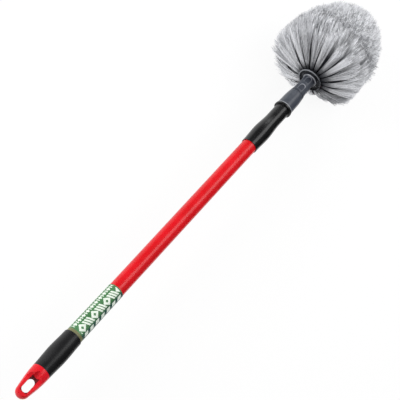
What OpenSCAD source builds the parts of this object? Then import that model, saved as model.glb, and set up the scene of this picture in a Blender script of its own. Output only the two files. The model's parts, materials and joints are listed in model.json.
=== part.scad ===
// Telescopic cobweb brush: a two-part twist-lock pole with a screw-on dome brush head.
// The pole lies along +X with the brush at the far end. The origin is the centre of the
// hanging hole, and +Z is square to the flats beside that hole.

/* [End cap] */
// Distance from the tail tip to the centre of the hanging hole
tip_to_hole = 21.7; // [21:0.1:26]
// Length of the visible red cap
cap_l = 50; // [48:0.5:60]
// Radius of the rounded tail tip
cap_nose_r = 10.5; // [10:0.5:12]
// Wall of the cap around the tube, at the grip
cap_wall = 2; // [1.6:0.1:4]
// Thickness of the cap between its two flats
tab_t = 13; // [11:0.5:18]
// Length of each flat past the hole's centre
tab_flat_l = 6; // [3:0.5:9]
// Radius of the hollow that leads from a flat up to the round cap
tab_blend_r = 12; // [10:1:16]
// Length of the hanging hole
hole_l = 27; // [18:0.5:28]
// Width of the hanging hole
hole_w = 11.5; // [10:0.1:13]
// Angle between the pole and the scoop above the hole
scoop_angle = 45; // [40:1:55]
// Length of the plug inside the tube
cap_plug_l = 12; // [8:1:20]
// Depth to which the tube end sits in the cap
cap_seat_l = 2.5; // [1.5:0.5:3]
// Wall of the hollow plug
cap_plug_wall = 2.5; // [1.5:0.5:4]

/* [Outer tube] */
// Outside diameter of the outer tube
outer_tube_d = 25; // [24:0.5:30]
// Wall of the outer tube
outer_tube_wall = 0.8; // [0.6:0.1:1]

/* [Grip and label] */
// Length of the grip
grip_l = 70; // [60:1:110]
// Wall of the grip at its fullest point
grip_belly_wall = 3.2; // [2.6:0.1:5]
// Wall of the grip at its upper end
grip_top_wall = 2.1; // [1.5:0.1:2.5]
// Radius of the rounded upper edge of the grip
grip_edge_r = 1.3; // [0.5:0.1:1.4]
// Length of the label sleeve
label_l = 98; // [60:1:140]
// Thickness of the label sleeve
label_t = 0.3; // [0.2:0.05:0.5]
// Slack between the tube and the lower end of the label sleeve
label_slack = 0.6; // [0.2:0.1:0.8]

/* [Collar] */
// Length of the collar sleeve
collar_l = 96; // [80:1:120]
// Length of the outer tube inside the collar
collar_cover_l = 45; // [35:1:50]
// Wall of the collar at its lower rim
collar_rim_wall = 1.2; // [0.8:0.1:2]
// Wall of the collar at its fullest point
collar_belly_wall = 2.25; // [2:0.05:4]
// Distance from the lower rim to the fullest point
collar_belly_x = 34; // [20:1:38]
// Distance from the lower rim to the start of the straight neck
collar_neck_x = 69; // [62:1:76]
// Wall of the collar's neck around the inner tube
collar_neck_wall = 1.4; // [1.2:0.1:2]
// Thickness of the flange of the guide bush
bush_flange_t = 1.5; // [1:0.1:2]
// Length of the guide bush inside the outer tube
bush_l = 57; // [30:1:80]
// How far the pole extends, which sets the length of the outer tube
slide_travel = 450; // [300:5:900]

/* [Inner tube] */
// Gap between the two tubes, all round
tube_gap = 0.7; // [0.6:0.05:1]
// Wall of the inner tube
inner_tube_wall = 0.7; // [0.5:0.1:1]

/* [Twist lock] */
// Free length between the cap plug and the lock when the pole is closed
park_gap = 4.5; // [3:0.5:20]
// Diameter of the lock spindle
spindle_d = 6; // [5:0.5:7]
// Length of the spindle past its stop nut
spindle_end_l = 1; // [0.5:0.5:3]
// Depth of the spindle in its plug
spindle_seat_l = 12; // [8:1:15]
// Length of the plug inside the inner tube
lock_plug_l = 20; // [17:1:30]
// Thickness of the plug's shoulder
lock_shoulder_t = 2; // [1.5:0.5:4]
// Length of the expander sleeve
expander_l = 24; // [22:1:32]
// Length of the solid end of the expander sleeve
expander_head_l = 5; // [4:0.5:6]
// Number of slits in the expander sleeve
expander_slits = 4; // [2:1:6]
// Width of each slit
expander_slit_w = 1.6; // [1.2:0.1:2]
// Wall of the expander sleeve at its open end
expander_lip = 2; // [1.6:0.1:2.4]
// Half angle of the cone
cone_angle = 12; // [8:1:12]
// Length of the cone inside the sleeve when unlocked
cone_in_l = 10; // [8:0.5:12]
// Length of the cone outside the sleeve when unlocked
cone_out_l = 4; // [3:0.5:6]
// Radial gap between the cone and the sleeve when unlocked
cone_gap = 0.3; // [0.28:0.01:0.4]
// Thickness of the stop nut
stop_nut_t = 4; // [3:0.5:6]
// Width across the corners of the stop nut
stop_nut_d = 11; // [9:0.5:13]

/* [Head thread] */
// Diameter over the thread crests
thread_d = 20.4; // [19:0.2:21]
// Depth of the thread
thread_depth = 1.6; // [1.2:0.1:2]
// Pitch of the thread
thread_pitch = 5; // [4:0.5:6]
// Length of the thread
thread_l = 24; // [20:1:28]
// Gap between the two threads, all round
thread_gap = 0.3; // [0.25:0.05:0.5]
// Length of the smooth lead-in past the thread
thread_nose_l = 2.5; // [2:0.5:4]
// How much narrower the end of the lead-in is, on the radius
thread_lead = 1; // [0.5:0.1:1.5]
// Free room in the socket past the lead-in
nose_room = 2; // [1:0.5:4]
// Length of the threaded tip inside the inner tube
tip_plug_l = 35; // [25:1:60]
// Wall of the hollow plug of the threaded tip
tip_plug_wall = 2.5; // [2:0.5:4]
// Diameter of the tip's flange
flange_d = 30.8; // [29:0.2:34]
// Thickness of the tip's flange
flange_t = 2.8; // [2:0.2:6]

/* [Head socket] */
// Length of the socket from its rim to the hub
socket_l = 81; // [81:1:90]
// Diameter of the socket at its rim
socket_rim_d = 28.4; // [27.8:0.2:30]
// Draft of the straight part, on the radius
socket_draft = 0.3; // [0.1:0.1:0.5]
// Diameter of the raised lip at the rim
socket_lip_d = 29.8; // [29:0.2:31]
// Width of the raised lip
socket_lip_l = 2; // [0.8:0.1:3]
// Length of the straight part of the socket
socket_straight_l = 20; // [16:1:27]
// Diameter of the neck where the taper ends
neck_d = 21.6; // [21:0.2:23]
// Distance from the rim to the end of the taper
neck_x = 60; // [54:1:62]
// Depth of the hollow inside the socket
socket_bore_l = 56; // [50:1:58]
// Diameter of the hollow past the thread
socket_bore_d = 12; // [10:0.5:13]
// Number of pairs of thumb notches round the neck
notch_pairs = 4; // [2:1:4]
// Length of a thumb notch
notch_l = 14; // [10:0.5:14]
// Width of a thumb notch
notch_w = 9; // [7:0.5:9]
// Depth of a thumb notch
notch_depth = 1.4; // [1:0.1:1.6]
// Distance between the two notches of a pair
notch_step = 20; // [17:0.5:20]
// Distance from the rim to the middle of the first notch
notch_x = 50; // [48:0.5:50]
// Angle round the pole of the first pair, from +Z towards +Y
notch_turn = 10; // [0:5:45]
// Distance from the rim to the groove behind the notches
groove_x = 38.5; // [36:0.5:40]
// Width of the groove
groove_w = 3; // [2:0.5:4]
// Depth of the groove
groove_depth = 0.5; // [0.3:0.1:0.8]

/* [Hub] */
// Diameter of the hub
hub_d = 42; // [40:0.5:46]
// Length of the straight part of the hub
hub_straight_l = 12; // [12:0.5:16]
// Depth of the hollow back inside its rim
hub_back_depth = 2; // [1:0.1:3]
// Width of that rim
hub_rim_w = 1.4; // [1:0.1:2.5]
// Outside diameter of the ring behind the hub
ring_d = 24.4; // [23.6:0.2:27]
// Width of the ring behind the hub
ring_l = 3; // [2.5:0.1:3]
// Bevel of the ring's back edge
ring_bevel = 1; // [0.5:0.1:1.2]
// Step between the neck and the seat of the ring
ring_step = 0.8; // [0.5:0.1:1.2]
// Diameter of the spigot that centres the hub
spigot_d = 12; // [10:0.5:13]
// Length of the spigot
spigot_l = 6; // [5:0.5:8]
// Diameter of the hub screw
screw_d = 4; // [3.5:0.1:5]
// Length of the hub screw
screw_l = 44; // [40:1:46]
// Diameter of the screw head
screw_head_d = 8; // [7:0.5:9]
// Thickness of the screw head
screw_head_t = 3; // [2:0.5:4]

/* [Bristles] */
// Radius of the trimmed bristle dome
dome_r = 83.5; // [74:0.5:92]
// Distance from the widest ring of the dome to its front
dome_l = 138; // [120:1:150]
// Distance from the back of the hub to the widest ring
dome_x = 33.5; // [30:0.5:42]
// How far the dome leans to the side of +Y at its widest
dome_lean = 7.2; // [0:0.2:10]
// How far it hangs to the side of -Z there
dome_drop = 2; // [0:0.5:6]
// How far its widest ring comes forward on the side of +Z, and back on the side of -Z
dome_forward = 5; // [0:0.5:8]
// Squareness of the dome's outline, where 2 is an ellipse
dome_power = 2.15; // [2:0.05:2.4]
// Angle round the pole, from +Y towards +Z, of the side that has been pressed in by use
press_turn = 243; // [225:1:315]
// How far the tips are pressed in there
press_depth = 13; // [0:0.5:16]
// How far they are pushed forward there
press_lift = 8; // [0:0.5:12]
// How narrow that side is, where a higher number is narrower
press_focus = 6; // [3:0.5:9]
// Width of the slice of the hub that holds a row
slice_w = 2.8; // [2.2:0.1:3.2]
// Depth of that slice
slice_depth = 5; // [4:0.25:5.5]
// Share of each tuft's room that its roots fill
tuft_fill = 0.72; // [0.6:0.02:0.8]
// Half thickness of a strand at its tip
strand_r = 1.25; // [0.9:0.05:1.4]
// Share of that thickness near the root
strand_root_share = 0.42; // [0.35:0.01:0.5]
// Share of a strand's reach over which it stays square to the hub
strand_knee = 0.42; // [0.3:0.02:0.5]
// How far the tips of one tuft spread along the dome, as an angle
tip_spread = 5; // [3:0.5:6]
// Uneven length of the strands
ragged = 2.5; // [0:0.5:4]
// Width of a tuft's wire anchor
anchor_w = 2.4; // [1.8:0.1:2.6]
// Thickness of a tuft's wire anchor
anchor_t = 0.6; // [0.4:0.1:0.8]
// Height of a tuft's wire anchor
anchor_h = 2; // [1.5:0.1:2.4]

/* [Fits] */
// Radial gap of a running fit
run_gap = 0.08; // [0.05:0.01:0.1]
// Radial gap of a pushed-in fit
push_gap = 0.03; // [0.02:0.01:0.05]
// Gap between flat faces that turn on each other
face_gap = 0.1; // [0.05:0.05:0.2]
// Gap between a free shaft and a sleeve round it
free_gap = 0.3; // [0.25:0.05:0.4]

/* [Hidden] */
$fn = 72;
cut = 1;

// Radii of the two tubes and of what fits them
outer_r = outer_tube_d / 2;
outer_bore_r = outer_r - outer_tube_wall;
inner_r = outer_bore_r - tube_gap;
inner_bore_r = inner_r - inner_tube_wall;
cap_end_r = outer_r + cap_wall;

// Places of the cap, the grip and the label
tail_x = -tip_to_hole;
grip_x = tail_x + cap_l;
tube_x = grip_x - cap_seat_l;
grip_end_x = grip_x + grip_l;
label_end_x = grip_end_x + label_l;

// Places of the twist lock, from its stop nut to the inner tube
spindle_x = grip_x + cap_plug_l + park_gap;
stop_nut_x = spindle_x + spindle_end_l;
cone_x = stop_nut_x + stop_nut_t + free_gap;
expander_x = cone_x + cone_out_l;
expander_end_x = expander_x + expander_l;
lock_shoulder_x = expander_end_x + free_gap;
inner_x = lock_shoulder_x + lock_shoulder_t;
expander_mouth_r = outer_bore_r - run_gap - expander_lip;
spindle_r = spindle_d / 2;

// Places of the guide bush, which stops the lock, and of the collar over it
bush_x = expander_end_x + slide_travel + free_gap;
tube_end_x = bush_x + bush_l;
collar_x = tube_end_x - collar_cover_l;
collar_end_x = collar_x + collar_l;
collar_bore_end_x = tube_end_x + bush_flange_t + face_gap;
inner_end_x = collar_end_x + face_gap;

// Places of the head
flange_end_x = inner_end_x + flange_t;
rim_x = flange_end_x + face_gap;
thread_end_x = flange_end_x + thread_l;
thread_mean_r = (thread_d - thread_depth) / 2;
thread_bore_end_x = thread_end_x + thread_nose_l + nose_room;
hub_x = rim_x + socket_l;
hub_r = hub_d / 2;
hub_dome_x = hub_x + hub_straight_l;
neck_r = neck_d / 2;
ring_x = hub_x - ring_l;
ring_seat_r = neck_r - ring_step;
screw_x = rim_x + socket_bore_l;
rim_ring_x = hub_x + dome_x;

// Rows of tufts, from the back of the hub to its front: where the roots stand, how many tufts
// and strands there are, and where on the dome the tips end (90 is its widest ring, 0 its front)
row_root_x = [-9.5, -3.5, 0, 0, 0, 0];
row_root_angle = [0, 0, 17, 36, 55, 75];
row_tufts = [20, 20, 16, 12, 8, 5];
row_strands = [6, 4, 4, 4, 4, 3];
row_tip_angle = [89, 74, 58, 42, 26, 10];
row_joints = [3, 3, 3, 2, 2, 2];

// A half-wave between two values, for the soft bellies of the grip and the collar
function ease(a, b, t) = a + (b - a) * (1 - cos(180 * t)) / 2;
function steps(n) = [for (i = [0 : n]) i / n];

// Turns an outline of [radius, x] points round the pole's axis
module turned(outline) {
    rotate([0, 90, 0]) rotate_extrude() polygon(outline);
}

// A plain sleeve or, with no bore, a rod along the pole's axis
module sleeve(x, length, r, bore_r = 0) {
    turned([[bore_r, x], [r, x], [r, x + length], [bore_r, x + length]]);
}

module hanging_hole() {
    straight = hole_l / 2 - hole_w / 2;
    for (side = [-1, 1])
        translate([side * straight, 0, -outer_tube_d])
            cylinder(h = 2 * outer_tube_d, d = hole_w);
    translate([-straight, -hole_w / 2, -outer_tube_d])
        cube([2 * straight, hole_w, 2 * outer_tube_d]);
}

// The round hollow that runs from the head end of the hole up to the cap's surface
module scoop() {
    rotate([0, scoop_angle, 0])
        cylinder(h = outer_tube_d, d = hole_w);
}

// What is cut away above one flat of the cap
module above_flat() {
    translate([tail_x - cut, -outer_tube_d, tab_t / 2])
        cube([tip_to_hole + cut + tab_flat_l, 2 * outer_tube_d, outer_tube_d]);
    translate([tab_flat_l, outer_tube_d, tab_t / 2 + tab_blend_r])
        rotate([90, 0, 0]) cylinder(h = 2 * outer_tube_d, r = tab_blend_r);
}

module end_cap() {
    nose = [for (a = [0 : 15 : 75]) [cap_nose_r * sin(a), tail_x + cap_nose_r * (1 - cos(a))]];
    nose_x = tail_x + cap_nose_r;
    side = [for (t = steps(10))
        [cap_nose_r + (cap_end_r - cap_nose_r) * sin(90 * t), nose_x + (grip_x - nose_x) * t]];
    seat_r = outer_r + push_gap;
    plug_r = outer_bore_r - push_gap;
    plug_end_x = grip_x + cap_plug_l;
    plug_hollow_r = plug_r - cap_plug_wall;
    rear = concat(nose, side, [[seat_r, grip_x], [seat_r, tube_x], [plug_r, tube_x]]);
    plug = [[plug_r, plug_end_x], [plug_hollow_r, plug_end_x], [plug_hollow_r, grip_x], [0, grip_x]];
    color([0.85, 0.08, 0.12])
    difference() {
        turned(concat(rear, plug));
        hanging_hole();
        for (side = [0, 1])
            mirror([0, 0, side]) {
                above_flat();
                scoop();
            }
    }
}

module grip_sleeve() {
    belly_r = outer_r + grip_belly_wall;
    top_r = outer_r + grip_top_wall;
    belly_x = grip_x + grip_l / 2;
    edge_x = grip_end_x - grip_edge_r;
    rise = [for (t = steps(8)) [ease(cap_end_r, belly_r, t), grip_x + (belly_x - grip_x) * t]];
    fall = [for (t = steps(8)) if (t > 0) [ease(belly_r, top_r, t), belly_x + (edge_x - belly_x) * t]];
    edge = [for (a = [30 : 30 : 90])
        [top_r - grip_edge_r * (1 - cos(a)), edge_x + grip_edge_r * sin(a)]];
    bore_r = outer_r + push_gap;
    color([0.13, 0.13, 0.14])
        turned(concat([[bore_r, grip_x]], rise, fall, edge, [[bore_r, grip_end_x]]));
}

module outer_tube() {
    color([0.82, 0.05, 0.09])
        sleeve(tube_x + push_gap, tube_end_x - tube_x - push_gap, outer_r, outer_bore_r);
}

module label_wrap() {
    low_r = outer_r + label_slack;
    high_r = outer_r + push_gap;
    color([0.35, 0.55, 0.38])
        turned([
            [low_r, grip_end_x], [low_r + label_t, grip_end_x],
            [high_r + label_t, label_end_x], [high_r, label_end_x]
        ]);
}

module collar_sleeve() {
    rim_r = outer_r + collar_rim_wall;
    belly_r = outer_r + collar_belly_wall;
    neck_bore_r = inner_r + free_gap;
    collar_neck_r = neck_bore_r + collar_neck_wall;
    wide_bore_r = outer_r + push_gap;
    rise = [for (t = steps(8)) [ease(rim_r, belly_r, t), collar_x + collar_belly_x * t]];
    fall = [for (t = steps(12)) if (t > 0)
        [ease(belly_r, collar_neck_r, t),
        collar_x + collar_belly_x + (collar_neck_x - collar_belly_x) * t]];
    bore = [
        [neck_bore_r, collar_end_x], [neck_bore_r, collar_bore_end_x],
        [wide_bore_r, collar_bore_end_x], [wide_bore_r, collar_x]
    ];
    color([0.15, 0.15, 0.16])
        turned(concat(rise, fall, [[collar_neck_r, collar_end_x]], bore));
}

module collar_bush() {
    bore_r = inner_r + run_gap;
    body_r = outer_bore_r - push_gap;
    color([0.85, 0.85, 0.8])
        turned([
            [bore_r, bush_x], [body_r, bush_x], [body_r, tube_end_x], [outer_r, tube_end_x],
            [outer_r, tube_end_x + bush_flange_t], [bore_r, tube_end_x + bush_flange_t]
        ]);
}

module expander_sleeve() {
    head_x = expander_end_x - expander_head_l;
    deep_r = expander_mouth_r - (head_x - expander_x) * tan(cone_angle);
    bore_r = spindle_r + run_gap;
    outside_r = outer_bore_r - run_gap;
    color([0.9, 0.9, 0.86])
    difference() {
        turned([
            [expander_mouth_r, expander_x], [outside_r, expander_x], [outside_r, expander_end_x],
            [bore_r, expander_end_x], [bore_r, head_x], [deep_r, head_x]
        ]);
        for (i = [0 : expander_slits - 1])
            rotate([i * 360 / expander_slits, 0, 0])
                translate([expander_x - cut, -expander_slit_w / 2, bore_r + cut])
                    cube([head_x - expander_x + cut, expander_slit_w, outer_r]);
    }
}

module expander_cone() {
    mouth_r = expander_mouth_r - cone_gap;
    back_r = mouth_r + cone_out_l * tan(cone_angle);
    front_x = expander_x + cone_in_l;
    front_r = mouth_r - cone_in_l * tan(cone_angle);
    bore_r = spindle_r + run_gap;
    key_w = expander_slit_w - 2 * free_gap;
    key_top = outer_bore_r - 2 * free_gap;
    color([0.2, 0.2, 0.22]) {
        turned([[bore_r, cone_x], [back_r, cone_x], [front_r, front_x], [bore_r, front_x]]);
        for (side = [0, 180])
            rotate([side, 0, 0])
                translate([cone_x, -key_w / 2, front_r - cut])
                    cube([cone_out_l + cone_in_l / 2, key_w, key_top - front_r + cut]);
    }
}

module inner_tube() {
    color([0.72, 0.73, 0.75])
        sleeve(inner_x, inner_end_x - inner_x, inner_r, inner_bore_r);
}

module lock_plug() {
    body_r = inner_bore_r - push_gap;
    hole_r = spindle_r + push_gap;
    seat_end_x = lock_shoulder_x + spindle_seat_l;
    color([0.2, 0.2, 0.22])
        turned([
            [hole_r, lock_shoulder_x], [inner_r, lock_shoulder_x], [inner_r, inner_x],
            [body_r, inner_x], [body_r, inner_x + lock_plug_l],
            [0, inner_x + lock_plug_l], [0, seat_end_x], [hole_r, seat_end_x]
        ]);
}

module lock_spindle() {
    color([0.6, 0.6, 0.62])
        sleeve(spindle_x, lock_shoulder_x + spindle_seat_l - spindle_x, spindle_r);
}

module stop_nut() {
    color([0.55, 0.55, 0.58])
    difference() {
        translate([stop_nut_x, 0, 0])
            rotate([0, 90, 0]) cylinder(h = stop_nut_t, d = stop_nut_d, $fn = 6);
        sleeve(stop_nut_x - cut, stop_nut_t + 2 * cut, spindle_r + push_gap);
    }
}

// One turn of the thread has this many rings, each with this many corners
thread_rings = 10;
thread_corners = 20;
// How far the middle of a flat facet lies inside the curve, at most
facet_depth = 0.1;

// Distance from the axis to the thread's surface: an off-centre circle that turns with x
function thread_surface(angle, x, grow) =
    let (turn = angle - 360 * (x - flange_end_x) / thread_pitch)
    thread_depth / 2 * cos(turn)
    + sqrt(pow(thread_mean_r + grow, 2) - pow(thread_depth / 2 * sin(turn), 2));

// A right-hand thread from one x to another, grown by the gap where it is a female thread
module thread_body(from_x, to_x, grow) {
    count = ceil((to_x - from_x) / thread_pitch * thread_rings);
    points = [for (k = [0 : count], i = [0 : thread_corners - 1])
        let (
            x = from_x + (to_x - from_x) * k / count,
            a = 360 * i / thread_corners,
            r = thread_surface(a, x, grow)
        )
        [x, r * cos(a), r * sin(a)]];
    walls = [for (k = [0 : count - 1], i = [0 : thread_corners - 1])
        let (
            near = k * thread_corners,
            far = near + thread_corners,
            next = (i + 1) % thread_corners
        )
        each [[near + i, far + i, far + next], [near + i, far + next, near + next]]];
    back = [for (i = [0 : thread_corners - 1]) i];
    front = [for (i = [thread_corners - 1 : -1 : 0]) count * thread_corners + i];
    polyhedron(points, concat(walls, [back, front]));
}

module thread_tip() {
    plug_r = inner_bore_r - push_gap;
    plug_x = inner_end_x - tip_plug_l;
    hollow_r = plug_r - tip_plug_wall;
    root_r = thread_mean_r - thread_depth / 2;
    lead_r = root_r - thread_lead;
    color([0.12, 0.12, 0.13]) {
        turned([
            [hollow_r, plug_x], [plug_r, plug_x], [plug_r, inner_end_x],
            [flange_d / 2, inner_end_x], [flange_d / 2, flange_end_x],
            [0, flange_end_x], [0, inner_end_x], [hollow_r, inner_end_x]
        ]);
        thread_body(flange_end_x, thread_end_x, 0);
        turned([
            [0, thread_end_x], [root_r - facet_depth, thread_end_x],
            [lead_r, thread_end_x + thread_nose_l], [0, thread_end_x + thread_nose_l]
        ]);
    }
}

module head_socket() {
    rim_r = socket_rim_d / 2;
    lip_end_x = rim_x + socket_lip_l;
    straight_end_x = rim_x + socket_straight_l;
    taper = [for (t = steps(8)) if (t > 0)
        [ease(rim_r - socket_draft, neck_r, t), straight_end_x + (neck_x - socket_straight_l) * t]];
    spigot_r = spigot_d / 2;
    shell = concat(
        [[0, rim_x], [socket_lip_d / 2, rim_x], [socket_lip_d / 2, lip_end_x],
        [rim_r, lip_end_x], [rim_r - socket_draft, straight_end_x]],
        taper,
        [[neck_r, ring_x - free_gap], [ring_seat_r, ring_x - free_gap], [ring_seat_r, hub_x],
        [spigot_r, hub_x], [spigot_r, hub_x + spigot_l], [0, hub_x + spigot_l]]
    );
    color([0.37, 0.4, 0.43])
    difference() {
        turned(shell);
        thread_body(rim_x - cut, thread_bore_end_x, thread_gap);
        sleeve(thread_bore_end_x - cut, screw_x - thread_bore_end_x + cut, socket_bore_d / 2);
        sleeve(screw_x - cut, hub_x + spigot_l - screw_x + 2 * cut, screw_d / 2 + run_gap);
        for (i = [0 : notch_pairs - 1], k = [0, 1])
            rotate([i * 360 / notch_pairs - notch_turn, 0, 0])
                thumb_notch(rim_x + notch_x + k * notch_step);
        neck_groove(rim_x + groove_x);
    }
}

// A round groove with sloping sides
module neck_groove(x) {
    r = neck_outline(x);
    turned([
        [r - groove_depth, x], [r + groove_depth, x + groove_w],
        [r + groove_depth, x - groove_w]
    ]);
}

// A shallow notch in the neck with one round end, on the side of +Z
module thumb_notch(x) {
    floor_r = neck_outline(x) - notch_depth;
    translate([x - notch_l / 2, -notch_w / 2, floor_r])
        cube([notch_l - notch_w / 2, notch_w, outer_r]);
    translate([x + notch_l / 2 - notch_w / 2, 0, floor_r])
        cylinder(h = outer_r, d = notch_w);
}

// Radius of the socket's taper at x
function neck_outline(x) =
    ease(socket_rim_d / 2 - socket_draft, neck_r,
        min(1, (x - rim_x - socket_straight_l) / (neck_x - socket_straight_l)));

module hub_ring() {
    bore_r = ring_seat_r + run_gap;
    ring_r = ring_d / 2;
    color([0.37, 0.4, 0.43])
        turned([
            [bore_r, ring_x], [ring_r - ring_bevel, ring_x], [ring_r, ring_x + ring_bevel],
            [ring_r, hub_x - free_gap], [bore_r, hub_x - free_gap]
        ]);
}

// A point of the hub's surface as [x, radius], and the direction square to it there
function root_place(row) = [
    hub_dome_x + row_root_x[row] + hub_r * sin(row_root_angle[row]),
    hub_r * cos(row_root_angle[row])
];
function root_out(row) = [sin(row_root_angle[row]), cos(row_root_angle[row])];
function root_along(row) = [cos(row_root_angle[row]), -sin(row_root_angle[row])];

// The slot in the hub for one row, as [radius, x] points: it holds the slice and the anchors
function slot_outline(row) =
    let (
        p = root_place(row),
        o = root_out(row),
        t = root_along(row) * (slice_w / 2 + push_gap),
        deep = slice_depth + anchor_h + 2 * free_gap,
        corners = [p - t + o, p + t + o, p + t - o * deep, p - t - o * deep]
    )
    [for (c = corners) [max(c[1], 0.2), c[0]]];

module hub_core() {
    back = [
        [hub_r - hub_rim_w, hub_x], [hub_r - hub_rim_w, hub_x - hub_back_depth],
        [hub_r, hub_x - hub_back_depth], [hub_r, hub_dome_x]
    ];
    dome = [for (a = [5 : 5 : 90]) [hub_r * cos(a), hub_dome_x + hub_r * sin(a)]];
    color([0.2, 0.21, 0.23])
    difference() {
        turned(concat([[0, hub_x]], back, dome));
        sleeve(hub_x - cut, spigot_l + cut + push_gap, spigot_d / 2 + push_gap);
        sleeve(hub_x, screw_x + screw_l - hub_x + free_gap, screw_d / 2 + push_gap);
        for (row = [0 : len(row_tufts) - 1])
            turned(slot_outline(row));
    }
}

module hub_screw() {
    color([0.7, 0.7, 0.72])
        turned([
            [0, screw_x - screw_head_t], [screw_head_d / 2, screw_x - screw_head_t],
            [screw_head_d / 2, screw_x], [screw_d / 2, screw_x],
            [screw_d / 2, screw_x + screw_l], [0, screw_x + screw_l]
        ]);
}

// Every tuft is held by a bent piece of flat wire at the bottom of its hole
module tuft_anchors() {
    color([0.65, 0.62, 0.5])
    for (row = [0 : len(row_tufts) - 1], tuft = [0 : row_tufts[row] - 1]) {
        p = root_place(row) - root_out(row) * (slice_depth + free_gap + anchor_h / 2);
        rotate([tuft_middle(row, tuft), 0, 0])
            translate([p[0], p[1], 0])
                rotate([0, 0, -row_root_angle[row]])
                    cube([anchor_t, anchor_h, anchor_w], center = true);
    }
}

// Angle round the axis of a tuft's middle: each row is turned by half a tuft from the last
function tuft_middle(row, tuft) =
    (tuft + 0.5 + (row % 2) / 2) * 360 / row_tufts[row];

// A steady number from 0 to 1 for each strand, so that the trim looks cut by hand
function scatter(i, seed) = let (v = sin(i * 78.233 + seed * 37.719) * 437.585) v - floor(v);

// A point of the trimmed dome: angle 90 is its widest ring and 0 its front
function dome_point(tip_angle, turn, trim) =
    let (
        along = pow(cos(tip_angle), 2 / dome_power),
        out = pow(sin(tip_angle), 2 / dome_power),
        press = exp(press_focus * (cos(turn - press_turn) - 1)),
        forward = dome_forward * sin(turn) + press_lift * press,
        r = dome_r - trim - press_depth * press
    )
    [
        rim_ring_x + (dome_l - trim) * along + forward * out,
        (r * cos(turn) + dome_lean) * out,
        (r * sin(turn) - dome_drop) * out
    ];

// The middle line of a strand: it leaves square to the hub and bends towards its tip
function bend(a, b, c, t) = a * pow(1 - t, 2) + b * 2 * t * (1 - t) + c * pow(t, 2);
function bend_way(a, b, c, t) = (b - a) * (1 - t) + (c - b) * t;
function around(p, angle) = [p[0], p[1] * cos(angle), p[1] * sin(angle)];
function unit(v) = v / norm(v);

// One row: a thin three-cornered ring of the hub, and from each strand's cell of its outer
// face a three-sided strand. The cells of a tuft stand together, with a gap to the next tuft.
module bristle_row(row) {
    tufts = row_tufts[row];
    strands = row_strands[row];
    joints = row_joints[row];
    cells = strands + 1;
    columns = tufts * cells;
    pitch = 360 / tufts;
    place = root_place(row);
    out = root_out(row);
    half = root_along(row) * slice_w / 2;
    heel = place - out * slice_depth;
    column_angle = [for (j = [0 : tufts - 1], i = [0 : cells - 1])
        tuft_middle(row, j) + pitch * tuft_fill * (i / strands - 0.5)];
    ring_points = [for (a = column_angle)
        each [around(place - half, a), around(place + half, a), around(heel, a)]];
    roots = [for (j = [0 : tufts - 1], i = [0 : strands - 1]) [j, i]];
    strand_points = [for (s = roots)
        let (
            column = s[0] * cells + s[1],
            number = s[0] * strands + s[1],
            root_turn = (column_angle[column] + column_angle[column + 1]) / 2,
            tip_turn = tuft_middle(row, s[0]) + pitch * ((s[1] + 0.5) / strands - 0.5),
            lift = tip_spread * (s[1] % 2 - 0.5) + tip_spread * (scatter(number, row) - 0.5) / 2,
            tip_angle = min(row_tip_angle[row] + lift, 90),
            tip = dome_point(tip_angle, tip_turn, ragged * scatter(number, row + 9)),
            root = around(place, root_turn),
            reach = norm(tip - root) * strand_knee,
            knee = root + around(out, root_turn) * reach
        )
        for (k = [1 : joints])
            let (
                t = pow(k / joints, 1.3),
                p = bend(root, knee, tip, t),
                way = unit(bend_way(root, knee, tip, t)),
                turn = root_turn + (tip_turn - root_turn) * t,
                side = unit(cross(cross(way, [0, -sin(turn), cos(turn)]), way)),
                up = cross(way, side),
                r = strand_r * (strand_root_share + (1 - strand_root_share) * t)
            )
            each [p - side * r * 0.87 - up * r / 2, p + up * r, p + side * r * 0.87 - up * r / 2]];
    // Each column has its cell of the outer face, which a strand's walls replace by half
    ring_faces = [for (c = [0 : columns - 1])
        let (
            a = 3 * c,
            b = 3 * ((c + 1) % columns),
            open = c % cells != strands
        )
        each concat(
            open ? [] : [[a, a + 1, b]],
            [[a + 1, b + 1, b], [a, b, b + 2], [a, b + 2, a + 2],
            [b + 1, a + 1, a + 2], [b + 1, a + 2, b + 2]]
        )];
    strand_faces = [for (s = [0 : len(roots) - 1])
        let (
            column = roots[s][0] * cells + roots[s][1],
            foot = [3 * column, 3 * column + 1, 3 * ((column + 1) % columns)],
            base = 3 * columns + s * joints * 3,
            rings = concat([foot], [for (k = [0 : joints - 1])
                [base + 3 * k, base + 3 * k + 1, base + 3 * k + 2]])
        )
        each concat(
            [for (k = [0 : joints - 1], i = [0 : 2])
                let (low = rings[k], high = rings[k + 1], n = (i + 1) % 3)
                each [[low[i], low[n], high[n]], [low[i], high[n], high[i]]]],
            [rings[joints]]
        )];
    color([0.72, 0.73, 0.75])
        polyhedron(concat(ring_points, strand_points), concat(ring_faces, strand_faces));
}

module bristle_row_1() { bristle_row(0); }
module bristle_row_2() { bristle_row(1); }
module bristle_row_3() { bristle_row(2); }
module bristle_row_4() { bristle_row(3); }
module bristle_row_5() { bristle_row(4); }
module bristle_row_6() { bristle_row(5); }

end_cap();
grip_sleeve();
outer_tube();
label_wrap();
collar_sleeve();
collar_bush();
expander_sleeve();
expander_cone();
inner_tube();
lock_plug();
lock_spindle();
stop_nut();
thread_tip();
hub_ring();
head_socket();
hub_core();
hub_screw();
tuft_anchors();
bristle_row_1();
bristle_row_2();
bristle_row_3();
bristle_row_4();
bristle_row_5();
bristle_row_6();
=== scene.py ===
"""Looks of the telescopic cobweb brush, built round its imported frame. Metres, pole along +X."""

import json
import math

import bpy
import numpy as np
from mathutils import Matrix, Vector


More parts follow.
